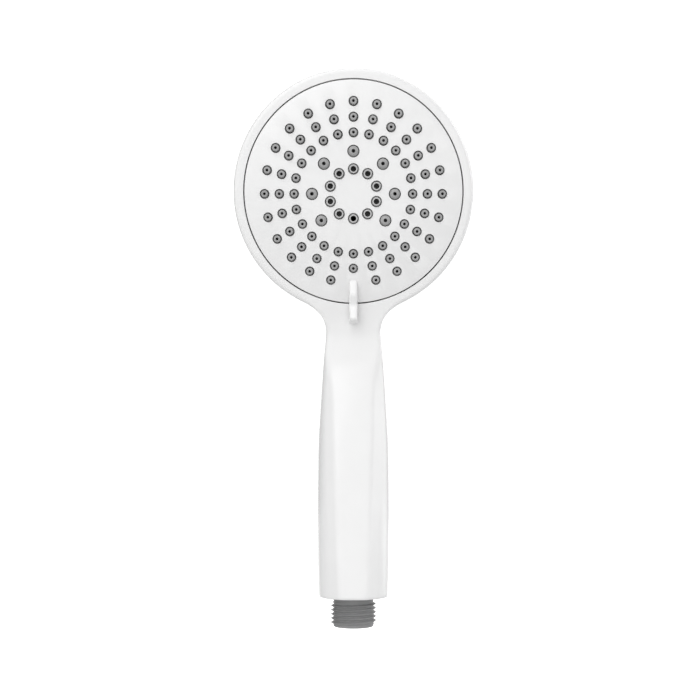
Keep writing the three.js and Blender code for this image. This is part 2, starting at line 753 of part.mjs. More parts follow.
addPart(head, "port_seal", portSeal(), BLACK_RUBBER);
addPart(head, "port_seal_spring", portSealSpring(), STEEL);
addPart(head, "detent_spring", detentSpring(), STEEL);
addPart(head, "face_plate", facePlate(), WHITE_ABS);
addPart(head, "selector_lever", selectorLever(), WHITE_ABS);
addPart(head, "nozzle_mat", nozzleMat(), GREY_SILICONE);
addPart(head, "centre_jet_disc", centreJetDisc(), LIGHT_PLASTIC);
addPart(head, "distributor_plate", distributorPlate(), DARK_ACETAL);
addPart(head, "channel_gasket", channelGasket(), BLACK_RUBBER);
addPart(head, "channel_plate", channelPlate(), DARK_ACETAL);
addCopies(head, "rotor_screw", rotorScrew(), STEEL, rotorScrewPlaces());
addPart(head, "pivot_washer", pivotWasher(), STEEL);
addPart(head, "pivot_screw", pivotScrew(), STEEL);

export default shower;
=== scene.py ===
"""A handheld shower head: white shell, turning nozzle face with its lever, and grey threaded inlet."""

import json
import math

import bpy
import numpy as np
from mathutils import Matrix, Vector

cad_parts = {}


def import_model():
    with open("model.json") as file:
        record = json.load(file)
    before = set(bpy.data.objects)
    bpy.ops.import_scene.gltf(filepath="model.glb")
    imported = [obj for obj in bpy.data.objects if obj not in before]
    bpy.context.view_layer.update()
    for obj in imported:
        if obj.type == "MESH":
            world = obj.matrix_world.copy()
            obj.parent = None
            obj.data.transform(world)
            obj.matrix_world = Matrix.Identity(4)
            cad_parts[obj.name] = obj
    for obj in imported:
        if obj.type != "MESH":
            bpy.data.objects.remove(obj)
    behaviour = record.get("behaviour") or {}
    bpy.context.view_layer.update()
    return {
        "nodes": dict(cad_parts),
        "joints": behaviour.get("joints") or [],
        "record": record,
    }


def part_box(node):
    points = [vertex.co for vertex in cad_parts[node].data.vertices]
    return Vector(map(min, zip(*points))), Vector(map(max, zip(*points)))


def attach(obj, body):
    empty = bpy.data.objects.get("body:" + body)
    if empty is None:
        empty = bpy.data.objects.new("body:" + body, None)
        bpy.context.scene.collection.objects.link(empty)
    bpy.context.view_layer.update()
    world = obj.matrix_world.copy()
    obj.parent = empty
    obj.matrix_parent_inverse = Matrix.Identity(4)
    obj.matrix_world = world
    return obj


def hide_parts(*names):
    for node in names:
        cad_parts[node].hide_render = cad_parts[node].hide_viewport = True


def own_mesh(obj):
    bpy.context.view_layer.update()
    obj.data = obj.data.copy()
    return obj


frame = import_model()

MM = 0.001


def joint_named(name):
    return next(joint for joint in frame["joints"] if joint["name"] == name)


# The head's frame comes from the joint that the spray face turns on
FACE_JOINT = joint_named("spray_face_turn")
FACE_CENTRE = np.array(FACE_JOINT["pos_m"]) / MM
FACE_NORMAL = np.array(FACE_JOINT["axis"]) / np.linalg.norm(FACE_JOINT["axis"])
FACE_UP = np.array([0, FACE_NORMAL[2], -FACE_NORMAL[1]])
HEAD_TO_FRAME = Matrix(
    [
        [1, 0, 0, FACE_CENTRE[0] * MM],
        [0, FACE_UP[1], FACE_NORMAL[1], FACE_CENTRE[1] * MM],
        [0, FACE_UP[2], FACE_NORMAL[2], FACE_CENTRE[2] * MM],
        [0, 0, 0, 1],
    ]
)

# Driving dimensions, in millimetres
HEAD_RADIUS = 57.08
HEAD_BACK_DEPTH = 29
RIM_DEPTH = 2.76
RIM_EDGE = 2.3
MOUTH_RADIUS = 52.05
FACE_RADIUS = 51.65
WALL = 2.4
HANDLE_BOTTOM = 12.5
HANDLE_TOP = 206  # inside the bowl
HOLLOW_TOP = 178
NECK_BLEND = 12.5
GAP_SHARE = 0.12  # what the face and the mouth each give to the gap between them
PLATE_THICKNESS = 2.2
SKIRT_BACK = -8
SKIRT_WALL = 1.9
QUARTER_ROUND = 0.3  # how far the middle of a small rounded edge lies inside its corner
MAT_FRONT = -2.4
MAT_BACK = -3.4
MAT_INNER_RADIUS = 15.4
MAT_OUTER_RADIUS = 46.4
JET_DISC_RADIUS = 15

# Radii of the holes in the face and of the bores in the nozzles
RAIN_HOLE = 2.35
MASSAGE_HOLE = 2.93
JET_HOLE = 2.69
RAIN_BORE = 0.66
MASSAGE_BORE = 0.85
JET_BORE = 1.33

THREAD_RADIUS = 10.4775
THREAD_PITCH = 1.814
THREAD_DEPTH = 1.162
THREAD_END = 10.9
THREAD_ROOT = THREAD_RADIUS - THREAD_DEPTH
INLET_BORE = 7.7
INLET_HOLE = 10.9

RAIN_RINGS = [(28, 24, []), (35, 24, []), (42, 24, [12])]
MASSAGE_RADIUS = 19.6
MASSAGE_ANGLES = [0, 45, 90, 129, -129, -90, -45]
JET_RING = (11.46, 10, [])


# Meshes from fields: a field is negative inside the shape, and near zero it measures millimetres

def smooth_min(a, b, blend):
    """The smaller of two fields, with a rounded join where they differ by less than the blend."""
    overlap = np.clip(blend - np.abs(a - b), 0, None) / blend
    return np.minimum(a, b) - overlap * overlap * blend / 4


def smooth_max(a, b, blend):
    return -smooth_min(-a, -b, blend)


def gradient(field, points):
    reach = 0.02
    slopes = []
    for axis in range(3):
        offset = np.zeros(3)
        offset[axis] = reach
        slopes.append((field(points + offset) - field(points - offset)) / (2 * reach))
    return np.stack(slopes, axis=1)


def pulled_onto(field, points, rounds=4, most=0.6):
    """Moves points along the field's slope until they lie where it is zero."""
    for _ in range(rounds):
        slope = gradient(field, points)
        size = np.maximum((slope * slope).sum(axis=1), 1e-4)
        move = slope * (field(points) / size)[:, None]
        length = np.linalg.norm(move, axis=1, keepdims=True)
        points = points - move * np.minimum(1, most / np.maximum(length, 1e-9))
    return points


def crossings(values, axis):
    """Where a grid edge along an axis crosses zero: a mask, and how far along the edge."""
    low = np.moveaxis(values, axis, 0)[:-1]
    high = np.moveaxis(values, axis, 0)[1:]
    crossed = (low < 0) != (high < 0)
    share = np.where(crossed, low / np.where(crossed, low - high, 1), 0)
    return np.moveaxis(crossed, 0, axis), np.moveaxis(share, 0, axis)


def surface_of(field, low, high, step):
    """Points and quads of the closed surface where a field is zero, by surface nets."""
    axes = [np.arange(low[i], high[i] + step, step) for i in range(3)]
    grid = np.stack(np.meshgrid(*axes, indexing="ij"), axis=-1)
    shape = grid.shape[:3]
    values = np.concatenate([field(layer.reshape(-1, 3)) for layer in grid]).reshape(shape)
    cells = tuple(n - 1 for n in shape)
    total = np.zeros(cells + (3,))
    count = np.zeros(cells)
    edges = []
    for axis in range(3):
        crossed, share = crossings(values, axis)
        edges.append(crossed)
        others = [i for i in range(3) if i != axis]
        for first in (0, 1):
            for second in (0, 1):
                cut = [slice(None)] * 3
                cut[others[0]] = slice(first, first + cells[others[0]])
                cut[others[1]] = slice(second, second + cells[others[1]])
                mask = crossed[tuple(cut)]
                count += mask
                total[..., axis] += share[tuple(cut)]
                total[..., others[0]] += mask * first
                total[..., others[1]] += mask * second
    used = count > 0
    number = np.full(cells, -1)
    number[used] = np.arange(used.sum())
    corner = np.stack(np.meshgrid(*[np.arange(n) for n in cells], indexing="ij"), axis=-1)[used]
    points = np.array([a[0] for a in axes]) + step * (corner + total[used] / count[used][:, None])
    quads = []
    for axis in range(3):
        others = [i for i in range(3) if i != axis]
        place = np.argwhere(edges[axis])
        inside = values[tuple(place.T)] < 0
        ring = []
        for first, second in ((0, 0), (1, 0), (1, 1), (0, 1)):
            cell = place.copy()
            cell[:, others[0]] -= first
            cell[:, others[1]] -= second
            ring.append(number[tuple(cell.T)])
        faces = np.stack(ring, axis=1)
        outward = inside if axis != 1 else ~inside
        faces[~outward] = faces[~outward][:, ::-1]
        quads.append(faces)
    return points, np.concatenate(quads)


def mesh_object(name, points, faces):
    """A new object from points in millimetres."""
    mesh = bpy.data.meshes.new(name)
    mesh.from_pydata([tuple(p) for p in np.asarray(points) * MM], [], [tuple(f) for f in faces])
    mesh.validate()
    made = bpy.data.objects.new(name, mesh)
    bpy.context.scene.collection.objects.link(made)
    return made


def field_object(name, field, low, high, step):
    points, quads = surface_of(field, low, high, step)
    return mesh_object(name, pulled_onto(field, points), quads.tolist())


def turned(name, profile, segments, place=None):
    """A closed profile of [radius, height] points turned round Z; a radius of zero is a pole."""
    points = []
    rows = []
    for radius, height in profile:
        if radius == 0:
            rows.append([len(points)] * segments)
            points.append([0, 0, height])
        else:
            rows.append([len(points) + i for i in range(segments)])
            for i in range(segments):
                angle = 2 * math.pi * i / segments
                points.append([radius * math.cos(angle), radius * math.sin(angle), height])
    closed = profile[0][0] != 0
    pairs = list(zip(rows, rows[1:])) + ([(rows[-1], rows[0])] if closed else [])
    faces = []
    for lower, upper in pairs:
        for i in range(segments):
            j = (i + 1) % segments
            face = [lower[i], lower[j], upper[j], upper[i]]
            faces.append([v for n, v in enumerate(face) if v not in face[:n]])
    made = mesh_object(name, points, faces)
    if place is not None:
        made.data.transform(place)
    return made


def rod(radius, low, high):
    """The profile of a plain round rod."""
    return [[0, low], [radius, low], [radius, high], [0, high]]


def rounded(points, radius, steps=4):
    """An outline with its corners given as [x, y] or [x, y, radius], each turned into an arc."""
    result = []
    for index, corner in enumerate(points):
        here = np.array(corner[:2], float)
        size = corner[2] if len(corner) > 2 else radius
        before = np.array(points[index - 1][:2], float) - here
        after = np.array(points[(index + 1) % len(points)][:2], float) - here
        if size == 0:
            result.append(here)
            continue
        start = before / np.linalg.norm(before)
        end = after / np.linalg.norm(after)
        half = math.acos(np.clip(start @ end, -1, 1)) / 2
        back = size / math.tan(half)
        centre = here + (start + end) / np.linalg.norm(start + end) * size / math.sin(half)
        first = here + start * back - centre
        last = here + end * back - centre
        for step in range(steps + 1):
            mix = first * math.sin((1 - step / steps) * (math.pi - 2 * half))
            mix = mix + last * math.sin(step / steps * (math.pi - 2 * half))
            result.append(centre + mix / math.sin(math.pi - 2 * half))
    return [p.tolist() for p in result]


def combined(target, cutters, operation):
    """Cuts away, joins or keeps the overlap, and removes the cutters."""
    for cutter in cutters:
        modifier = target.modifiers.new("combine", "BOOLEAN")
        modifier.operation = operation
        modifier.solver = "MANIFOLD"
        modifier.object = cutter
    evaluated = target.evaluated_get(bpy.context.evaluated_depsgraph_get())
    mesh = bpy.data.meshes.new_from_object(evaluated)
    target.modifiers.clear()
    target.data = mesh
    for cutter in cutters:
        bpy.data.objects.remove(cutter)
    return target


def merged(objects):
    """One object holding every given mesh, as separate closed bodies."""
    points = []
    faces = []
    for item in objects:
        start = len(points)
        points += [v.co / MM for v in item.data.vertices]
        faces += [[start + v for v in polygon.vertices] for polygon in item.data.polygons]
    made = mesh_object(objects[0].name, points, faces)
    for item in objects:
        bpy.data.objects.remove(item)
    return made


def smooth(item, angle):
    """Smooth shading, except across edges that bend by more than an angle."""
    item.data.shade_smooth()
    item.data.set_sharp_from_angle(angle=math.radians(angle))
    return item


# Shell

def in_head(points):
    """Places across the face, up the face and out of it, from its centre."""
    offset = points - FACE_CENTRE
    return offset[:, 0], offset @ FACE_UP, offset @ FACE_NORMAL


def ellipse_field(x, y, half_x, half_y):
    """Nearly the distance to an ellipse."""
    scaled = np.hypot(x / half_x, y / half_y)
    slope = np.hypot(x / half_x**2, y / half_y**2)
    return scaled * (scaled - 1) / np.maximum(slope, 1e-6)


def bowl_field(points):
    """The head as a solid: half an ellipsoid behind the rim, and a rounded edge in front of it."""
    x, y, z = in_head(points)
    radius = np.hypot(x, y)
    back = ellipse_field(radius, np.minimum(z + RIM_DEPTH, 0), HEAD_RADIUS, HEAD_BACK_DEPTH)
    edge_start = HEAD_RADIUS - RIM_EDGE
    edge = ellipse_field(np.maximum(radius - edge_start, 0), z + RIM_DEPTH, RIM_EDGE, RIM_DEPTH)
    front = np.where(radius < edge_start, z, edge)
    return np.where(z < -RIM_DEPTH, back, np.maximum(front, radius - HEAD_RADIUS))


# Each table gives a height up the handle and a measure there
HANDLE_WIDTH = [
    (12.5, 16.5), (20, 16.8), (31, 17.1), (47, 17.3), (66, 17.3), (86, 17.05), (104, 16.1),
    (114, 15.5), (124, 14.8), (136, 13.75), (146, 13.2), (156, 12.7), (172, 12.0), (190, 9), (206, 6),
]
HANDLE_BACK = [
    (12.5, 13.8), (40, 14.4), (80, 14.7), (110, 14.7), (126, 14.3), (140, 12.8),
    (154, 9.2), (166, 4.0), (178, -4.0), (191, -14), (206, -26),
]
HANDLE_FRONT = [(12.5, -14.2), (40, -14.8), (86, -15.0), (130, -14.6), (190, -14.6)]
# Soft crease between the front panel and each flank: its distance from the middle
CREASE = [
    (12.5, 6.3), (30, 7.1), (50, 7.8), (69, 8.6), (88, 9.2), (105, 9.8),
    (113, 10.5), (119, 11.8), (124, 13.7), (129, 16.5), (136, 21), (190, 30),
]
# Softness of the edge between each flank and the side of the handle
SIDE_EDGE = [(12.5, 6.5), (40, 6.0), (60, 5.0), (90, 4.0), (120, 2.5), (190, 2.5)]
FLANK_ANGLE = 40  # degrees that each flank leans back from the front panel
PANEL_CURVE = 70.0  # radius of the front panel's slight curve across
FRONT_BEND = 6.0  # softness of the bend where the panel meets the plane of the face
SIDE_SQUARENESS = 3.6  # 2 would be an ellipse
SIDE_EXTRA_DEPTH = 9  # how far the sides run on past the panel before they turn in
# Heights between which the panel's edge softens and its curve flattens out
NECK_START = 112
NECK_FULL = 134


def along(table, height):
    """A smooth curve through a table of (height, value) rows."""
    stations = np.array([row[0] for row in table], float)
    values = np.array([row[1] for row in table], float)
    slopes = np.gradient(values, stations)
    place = np.clip(np.searchsorted(stations, height) - 1, 0, len(stations) - 2)
    width = stations[place + 1] - stations[place]
    t = np.clip((height - stations[place]) / width, 0, 1)
    start = (1 + 2 * t) * (1 - t) ** 2 * values[place] + t * (1 - t) ** 2 * width * slopes[place]
    end = t**2 * (3 - 2 * t) * values[place + 1] + t**2 * (t - 1) * width * slopes[place + 1]
    return start + end


def face_plane_at(height):
    """How far forward the plane of the spray face lies at a height."""
    return FACE_CENTRE[1] - (height - FACE_CENTRE[2]) * FACE_NORMAL[2] / FACE_NORMAL[1]


def handle_front(height):
    return smooth_min(face_plane_at(height), along(HANDLE_FRONT, height), FRONT_BEND)


def oval_field(x, y, half_x, half_y, power):
    """An ellipse, or a squarer oval where the power is above 2."""
    flattest = 1 / 40
    scaled = (np.abs(x / half_x) ** power + np.abs(y / half_y) ** power) ** (1 / power)
    slope_x = np.abs(x / half_x) ** (power - 1) / half_x
    slope_y = np.abs(y / half_y) ** (power - 1) / half_y
    slope = np.hypot(slope_x, slope_y) / np.maximum(scaled, 1e-6) ** (power - 1)
    return (scaled - 1) / np.maximum(slope, flattest)


def panel_depth(x, z):
    """Where the slightly curved front panel lies, from front to back."""
    return handle_front(z) + x * x / (2 * PANEL_CURVE) * (1 - neck_share(z))


def neck_share(z):
    """From 0 on the handle to 1 at the neck, under the head."""
    share = np.clip((z - NECK_START) / (NECK_FULL - NECK_START), 0, 1)
    return share * share * (3 - 2 * share)


def flank_field(x, y, z):
    """The flat side that leans back from the crease."""
    crease = along(CREASE, z)
    lean = math.radians(FLANK_ANGLE)
    outwards = x - crease
    backwards = y - panel_depth(crease, z)
    return outwards * math.sin(lean) - backwards * math.cos(lean)


def handle_field(points, inset=0.0, bottom=HANDLE_BOTTOM, top=HANDLE_TOP):
    """An oval bar with a flat front panel and leaning flanks, cut off at both ends."""
    crease_edge = 0.8
    neck_edge = 2.4
    bottom_edge = 1.3
    top_edge = 3
    x, y, z = points.T
    x = np.abs(x)
    front, back = handle_front(z), along(HANDLE_BACK, z)
    half_width = along(HANDLE_WIDTH, z)
    centre = (front + back) / 2
    depth = (back - front) / 2
    rear = oval_field(x, y - centre, half_width, depth, 2)
    side = oval_field(x, y - centre, half_width, depth + SIDE_EXTRA_DEPTH, SIDE_SQUARENESS)
    body = np.where(y > centre, rear, side)
    body = smooth_max(body, flank_field(x, y, z), along(SIDE_EDGE, z))
    panel_edge = crease_edge + (neck_edge - crease_edge) * neck_share(z)
    body = smooth_max(body, panel_depth(x, z) - y, panel_edge) + inset
    return smooth_max(smooth_max(body, bottom - z, bottom_edge), z - top, top_edge)


def shell_outside(points):
    """Handle and bowl in one, with nothing standing in front of the face's plane or the panel."""
    edge = 0.5
    whole = smooth_min(handle_field(points), bowl_field(points), NECK_BLEND)
    limit = handle_front(points[:, 2]) - points[:, 1]
    in_front = np.minimum(limit, in_head(points)[2])
    return smooth_max(whole, in_front, edge)


def shell_hollow(points):
    """The room inside the shell, one wall thickness in."""
    inner_radius = HEAD_RADIUS - WALL
    inner_depth = HEAD_BACK_DEPTH - WALL
    floor_thickness = 3
    blend = 6
    x, y, z = in_head(points)
    radius = np.hypot(x, y)
    back = ellipse_field(radius, np.minimum(z + RIM_DEPTH, 0), inner_radius, inner_depth)
    bowl = np.maximum(back, np.maximum(radius - MOUTH_RADIUS, z + RIM_DEPTH))
    handle = handle_field(points, WALL, HANDLE_BOTTOM + floor_thickness, HOLLOW_TOP)
    return smooth_min(handle, bowl, blend)


def mouth_cutter():
    """The round recess that the spray face sits in."""
    chamfer = 0.1
    wall_start = -10.9
    radius = MOUTH_RADIUS + GAP_SHARE
    profile = [
        [0, wall_start],
        [radius, wall_start],
        [radius, -chamfer],
        [radius + chamfer * QUARTER_ROUND, -chamfer * QUARTER_ROUND],
        [radius + chamfer, 0.0],
        [radius + chamfer, 3],
        [0, 3],
    ]
    return turned("mouth", profile, segments=256, place=HEAD_TO_FRAME)


def shell():
    hole_reach = 4.5  # how far the inlet's hole is cut to each side of the handle's end
    low = [-HEAD_RADIUS - 2, -70, HANDLE_BOTTOM - 2]
    high = [HEAD_RADIUS + 2, 20, 254]
    body = field_object("shell", shell_outside, low, high, step=0.8)
    hollow = field_object("hollow", shell_hollow, low, high, step=2.0)
    hole = rod(INLET_HOLE, HANDLE_BOTTOM - hole_reach, HANDLE_BOTTOM + hole_reach)
    inlet_hole = turned("inlet_hole", hole, segments=96)
    return smooth(combined(body, [hollow, mouth_cutter(), inlet_hole], "DIFFERENCE"), angle=30)


# Spray face

def place_on_face(radius, angle):
    """Across and up from the face's centre, with the angle measured from straight up."""
    return radius * math.sin(math.radians(angle)), radius * math.cos(math.radians(angle))


def ring_places(radius, places, left_out):
    kept = [place for place in range(places) if place not in left_out]
    return [place_on_face(radius, 360 * place / places) for place in kept]


RAIN_PLACES = [place for ring in RAIN_RINGS for place in ring_places(*ring)]
MASSAGE_PLACES = [place_on_face(MASSAGE_RADIUS, angle) for angle in MASSAGE_ANGLES]
JET_PLACES = ring_places(*JET_RING)


def on_face(x, y):
    return HEAD_TO_FRAME @ Matrix.Translation((x * MM, y * MM, 0))


def copies(name, profile, segments, places):
    """The same turned shape at every place on the face, in one object."""
    return merged([turned(name, profile, segments, on_face(x, y)) for x, y in places])


def hole_cutter(name, radius, places):
    chamfer = 0.06
    profile = [
        [0, -PLATE_THICKNESS - 1],
        [radius - chamfer, -PLATE_THICKNESS - 1],
        [radius - chamfer, -chamfer],
        [radius, 0],
        [radius, 1],
        [0, 1],
    ]
    return copies(name, profile, segments=40, places=places)


def face_plate():
    edge = 0.12
    radius = FACE_RADIUS - GAP_SHARE
    profile = [
        [0, -PLATE_THICKNESS],
        [radius - SKIRT_WALL, -PLATE_THICKNESS],
        [radius - SKIRT_WALL, SKIRT_BACK],
        [radius, SKIRT_BACK],
        [radius, -edge],
        [radius - edge * QUARTER_ROUND, -edge * QUARTER_ROUND],
        [radius - edge, 0],
        [0, 0],
    ]
    plate = turned("face", profile, segments=256, place=HEAD_TO_FRAME)
    cutters = [
        hole_cutter("rain_holes", RAIN_HOLE, RAIN_PLACES),
        hole_cutter("massage_holes", MASSAGE_HOLE, MASSAGE_PLACES),
        hole_cutter("jet_holes", JET_HOLE, JET_PLACES),
    ]
    return smooth(combined(plate, cutters, "DIFFERENCE"), angle=30)


def nozzle_profile(base, tip, bore, height, edge, foot):
    """Half section of a nozzle: its foot flares into the mat, and its tip has a rounded edge."""
    root = MAT_FRONT - 0.5
    bore_edge = 0.12
    outline = [
        [bore, root],
        [base + foot, root],
        [base + foot, MAT_FRONT],
        [base, MAT_FRONT + foot],
        [tip, height, edge],
        [bore, height, bore_edge],
    ]
    return rounded(outline, 0)


def bore_cutter(name, radius, segments, places):
    beyond = 1.6
    return copies(name, rod(radius, MAT_BACK - beyond, 0), segments, places)


def nozzle_mat():
    ring = [
        [MAT_INNER_RADIUS, MAT_BACK],
        [MAT_OUTER_RADIUS, MAT_BACK],
        [MAT_OUTER_RADIUS, MAT_FRONT],
        [MAT_INNER_RADIUS, MAT_FRONT],
    ]
    rain_profile = nozzle_profile(
        base=1.7, tip=1.58, bore=RAIN_BORE, height=1.1, edge=0.3, foot=0.1
    )
    massage_profile = nozzle_profile(
        base=2.55, tip=2.45, bore=MASSAGE_BORE, height=0.95, edge=1.5, foot=0.05
    )
    sheet = turned("nozzles", ring, segments=96, place=HEAD_TO_FRAME)
    rain = copies("rain", rain_profile, 32, RAIN_PLACES)
    massage = copies("massage", massage_profile, 36, MASSAGE_PLACES)
    bores = [
        bore_cutter("rain_bores", RAIN_BORE, 32, RAIN_PLACES),
        bore_cutter("massage_bores", MASSAGE_BORE, 36, MASSAGE_PLACES),
    ]
    mat = combined(sheet, bores, "DIFFERENCE")
    return smooth(combined(mat, [rain, massage], "UNION"), angle=40)


def jet_disc():
    disc_profile = rod(JET_DISC_RADIUS, MAT_BACK, MAT_FRONT)
    sheet = turned("jets", disc_profile, segments=72, place=HEAD_TO_FRAME)
    profile = nozzle_profile(
        base=1.98, tip=1.95, bore=JET_BORE, height=0.95, edge=0.15, foot=0.1
    )
    jets = copies("jet_tubes", profile, 36, JET_PLACES)
    bores = bore_cutter("jet_bores", JET_BORE, 36, JET_PLACES)
    disc = combined(sheet, [bores], "DIFFERENCE")
    return smooth(combined(disc, [jets], "UNION"), angle=40)


# Lever outline in the head's frame: [along the face, out of the face, corner radius]
LEVER_OUTLINE = [
    [-40.5, -0.2, 0.1], [-40.7, 0.05, 0.1], [-46.9, 4.7, 3.5], [-52.4, 4.0, 3.0], [-58.6, 8.0, 1.6],
    [-61.0, 5.6, 1.2], [-61.2, 2.6, 1.0], [-58.6, 0.45, 1.0], [-50.8, 0.45, 0.2], [-50.6, -0.2, 0.1],
]


def polygon_field(x, y, outline):
    """Signed distance to a closed outline of points."""
    distance = np.full(x.shape, 1e9)
    inside = np.zeros(x.shape, bool)
    for (ax, ay), (bx, by) in zip(outline, outline[1:] + outline[:1]):
        length_squared = max((bx - ax) ** 2 + (by - ay) ** 2, 1e-12)
        run = np.clip(((x - ax) * (bx - ax) + (y - ay) * (by - ay)) / length_squared, 0, 1)
        distance = np.minimum(distance, np.hypot(x - ax - run * (bx - ax), y - ay - run * (by - ay)))
        crosses = (ay > y) != (by > y)
        reach = ax + (y - ay) * (bx - ax) / (by - ay if by != ay else 1)
        inside ^= crosses & (x < reach)
    return np.where(inside, -distance, distance)


def lever_half_width(y, z):
    """Wider from 41 mm to 50 mm down the face, and narrower towards the lever's top."""
    return 2.0 + 0.25 * np.clip((-y - 41) / 9, 0, 1) - 0.07 * np.clip(z, 0, 9)


def lever():
    outline = rounded(LEVER_OUTLINE, 0.5, 6)
    edge = 1.1
    margin = 4.0

    def field(points):
        x, y, z = in_head(points)
        return smooth_max(polygon_field(y, z, outline), np.abs(x) - lever_half_width(y, z), edge)

    low, high = (np.array(corner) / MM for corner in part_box("selector_lever"))
    return smooth(field_object("lever", field, low - margin, high + margin, step=0.22), angle=50)


# Inlet

def thread_radius(height, turn):
    """Radius of the thread: leaning flanks between flat crests and roots, run out at both ends."""
    start_phase = 0.075
    crest_share = 0.1
    flank_share = 0.64
    lead_start = 0.9
    lead_length = 0.6
    phase = (height / THREAD_PITCH - turn + start_phase) % 1.0
    wave = 1 - np.clip((abs(phase - 0.5) * 2 - crest_share) / flank_share, 0, 1)
    lead_in = np.clip((height - lead_start) / lead_length, 0, 1)
    run_out = np.clip(THREAD_END - height, 0, 1)
    return THREAD_RADIUS - THREAD_DEPTH * (1 - wave * lead_in * run_out)


def inlet():
    """The threaded tube end: its outside row by row, then its end, bore and top."""
    segments = 128
    rows = 150
    chamfer = 0.25
    bore_chamfer = 0.3
    top = HANDLE_BOTTOM + 6
    points = []
    for height in np.linspace(chamfer, top, rows):
        for i in range(segments):
            turn = i / segments
            radius = thread_radius(height, turn)
            angle = 2 * math.pi * turn
            points.append([radius * math.cos(angle), radius * math.sin(angle), height])
    faces = []
    for row in range(rows - 1):
        lower = row * segments
        upper = lower + segments
        for i in range(segments):
            j = (i + 1) % segments
            faces.append([lower + i, lower + j, upper + j, upper + i])
    rims = [
        (THREAD_ROOT - chamfer, 0.0),
        (INLET_BORE + bore_chamfer, 0.0),
        (INLET_BORE, bore_chamfer),
        (INLET_BORE, top),
    ]
    first = len(points)
    for radius, height in rims:
        for i in range(segments):
            angle = 2 * math.pi * i / segments
            points.append([radius * math.cos(angle), radius * math.sin(angle), height])
    chain = [0] + [first + segments * n for n in range(len(rims))] + [(rows - 1) * segments]
    for here, there in zip(chain, chain[1:]):
        for i in range(segments):
            j = (i + 1) % segments
            faces.append([here + j, here + i, there + i, there + j])
    return smooth(mesh_object("inlet", points, faces), angle=50)


# Spring of the check valve

SPRING_WIRE = 0.3  # radius of the wire
SPRING_TURNS = 6.5
SPRING_END_TURNS = 0.75  # lying flat at each end
SPRING_SIDES = 10
SPRING_STEPS_PER_TURN = 24


def valve_spring():
    """A coil spring, which in the valve shortens as the poppet lifts; here it is built at one fixed
    length, filling its part's box.
    """
    low, high = (np.array(corner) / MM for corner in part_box("check_valve_spring"))
    radius = (high[0] - low[0]) / 2 - SPRING_WIRE
    bottom = low[2] + SPRING_WIRE
    rise = high[2] - low[2] - 2 * SPRING_WIRE
    sides = SPRING_SIDES
    steps = round(SPRING_STEPS_PER_TURN * SPRING_TURNS)
    points = []
    for step in range(steps + 1):
        turn = SPRING_TURNS * step / steps
        share = (turn - SPRING_END_TURNS) / (SPRING_TURNS - 2 * SPRING_END_TURNS)
        height = bottom + rise * min(max(share, 0), 1)
        for side in range(sides):
            around = 2 * math.pi * side / sides
            reach = radius + SPRING_WIRE * math.cos(around)
            level = height + SPRING_WIRE * math.sin(around)
            angle = 2 * math.pi * turn
            points.append([reach * math.cos(angle), reach * math.sin(angle), level])
    faces = [list(range(sides)), list(range(steps * sides, (steps + 1) * sides))[::-1]]
    for step in range(steps):
        for side in range(sides):
            here = step * sides + side
            beside = step * sides + (side + 1) % sides
            faces.append([here, here + sides, beside + sides, beside])
    made = smooth(mesh_object("valve_spring", points, faces), angle=50)
    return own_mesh(made)


# Materials

# Most of a noise texture's values lie between these
NOISE_LOW = 0.3
NOISE_HIGH = 0.7


def material(name):
    made = bpy.data.materials.new(name)
    made.use_nodes = True
    return made, made.node_tree.nodes, made.node_tree.links


def noise(nodes, links, scale, detail, roughness):
    """Noise fixed to the object, with about scale patches to the metre."""
    coordinates = nodes.new("ShaderNodeTexCoord")
    texture = nodes.new("ShaderNodeTexNoise")
    texture.inputs["Scale"].default_value = scale
    texture.inputs["Detail"].default_value = detail
    texture.inputs["Roughness"].default_value = roughness
    links.new(coordinates.outputs["Object"], texture.inputs["Vector"])
    return texture.outputs["Fac"]


def ranged(nodes, links, value, low, high):
    node = nodes.new("ShaderNodeMapRange")
    node.inputs["From Min"].default_value = NOISE_LOW
    node.inputs["From Max"].default_value = NOISE_HIGH
    node.inputs["To Min"].default_value = low
    node.inputs["To Max"].default_value = high
    links.new(value, node.inputs["Value"])
    return node.outputs["Result"]


def ramp(nodes, links, value, dark, light):
    node = nodes.new("ShaderNodeValToRGB")
    node.color_ramp.elements[0].position = NOISE_LOW
    node.color_ramp.elements[1].position = NOISE_HIGH
    node.color_ramp.elements[0].color = (*dark, 1)
    node.color_ramp.elements[1].color = (*light, 1)
    links.new(value, node.inputs["Fac"])
    return node.outputs["Color"]


def moulded(name, dark, light, roughness, grain, coat=0.0, metallic=0.0):
    """A moulded or drawn surface whose colour drifts between two tones.

    Its fine grain is given as bumps to the metre, and their depth in millimetres.
    """
    grain_scale, grain_depth = grain
    made, nodes, links = material(name)
    shader = nodes["Principled BSDF"]
    shader.inputs["Metallic"].default_value = metallic
    shader.inputs["Coat Weight"].default_value = coat
    shader.inputs["Coat Roughness"].default_value = 0.08
    drift = noise(nodes, links, scale=60, detail=3, roughness=0.5)
    links.new(ramp(nodes, links, drift, dark, light), shader.inputs["Base Color"])
    cloud = noise(nodes, links, scale=220, detail=4, roughness=0.6)
    gloss = ranged(nodes, links, cloud, low=roughness - 0.03, high=roughness + 0.025)
    links.new(gloss, shader.inputs["Roughness"])
    bump = nodes.new("ShaderNodeBump")
    bump.inputs["Strength"].default_value = 1.0
    bump.inputs["Distance"].default_value = grain_depth * MM
    bumps = noise(nodes, links, grain_scale, detail=3, roughness=0.55)
    links.new(bumps, bump.inputs["Height"])
    links.new(bump.outputs["Normal"], shader.inputs["Normal"])
    return made


def grey(value, tint=0.0):
    """A grey, which a tint makes a little blue."""
    return (value * (1 - tint), value, value * (1 + tint))


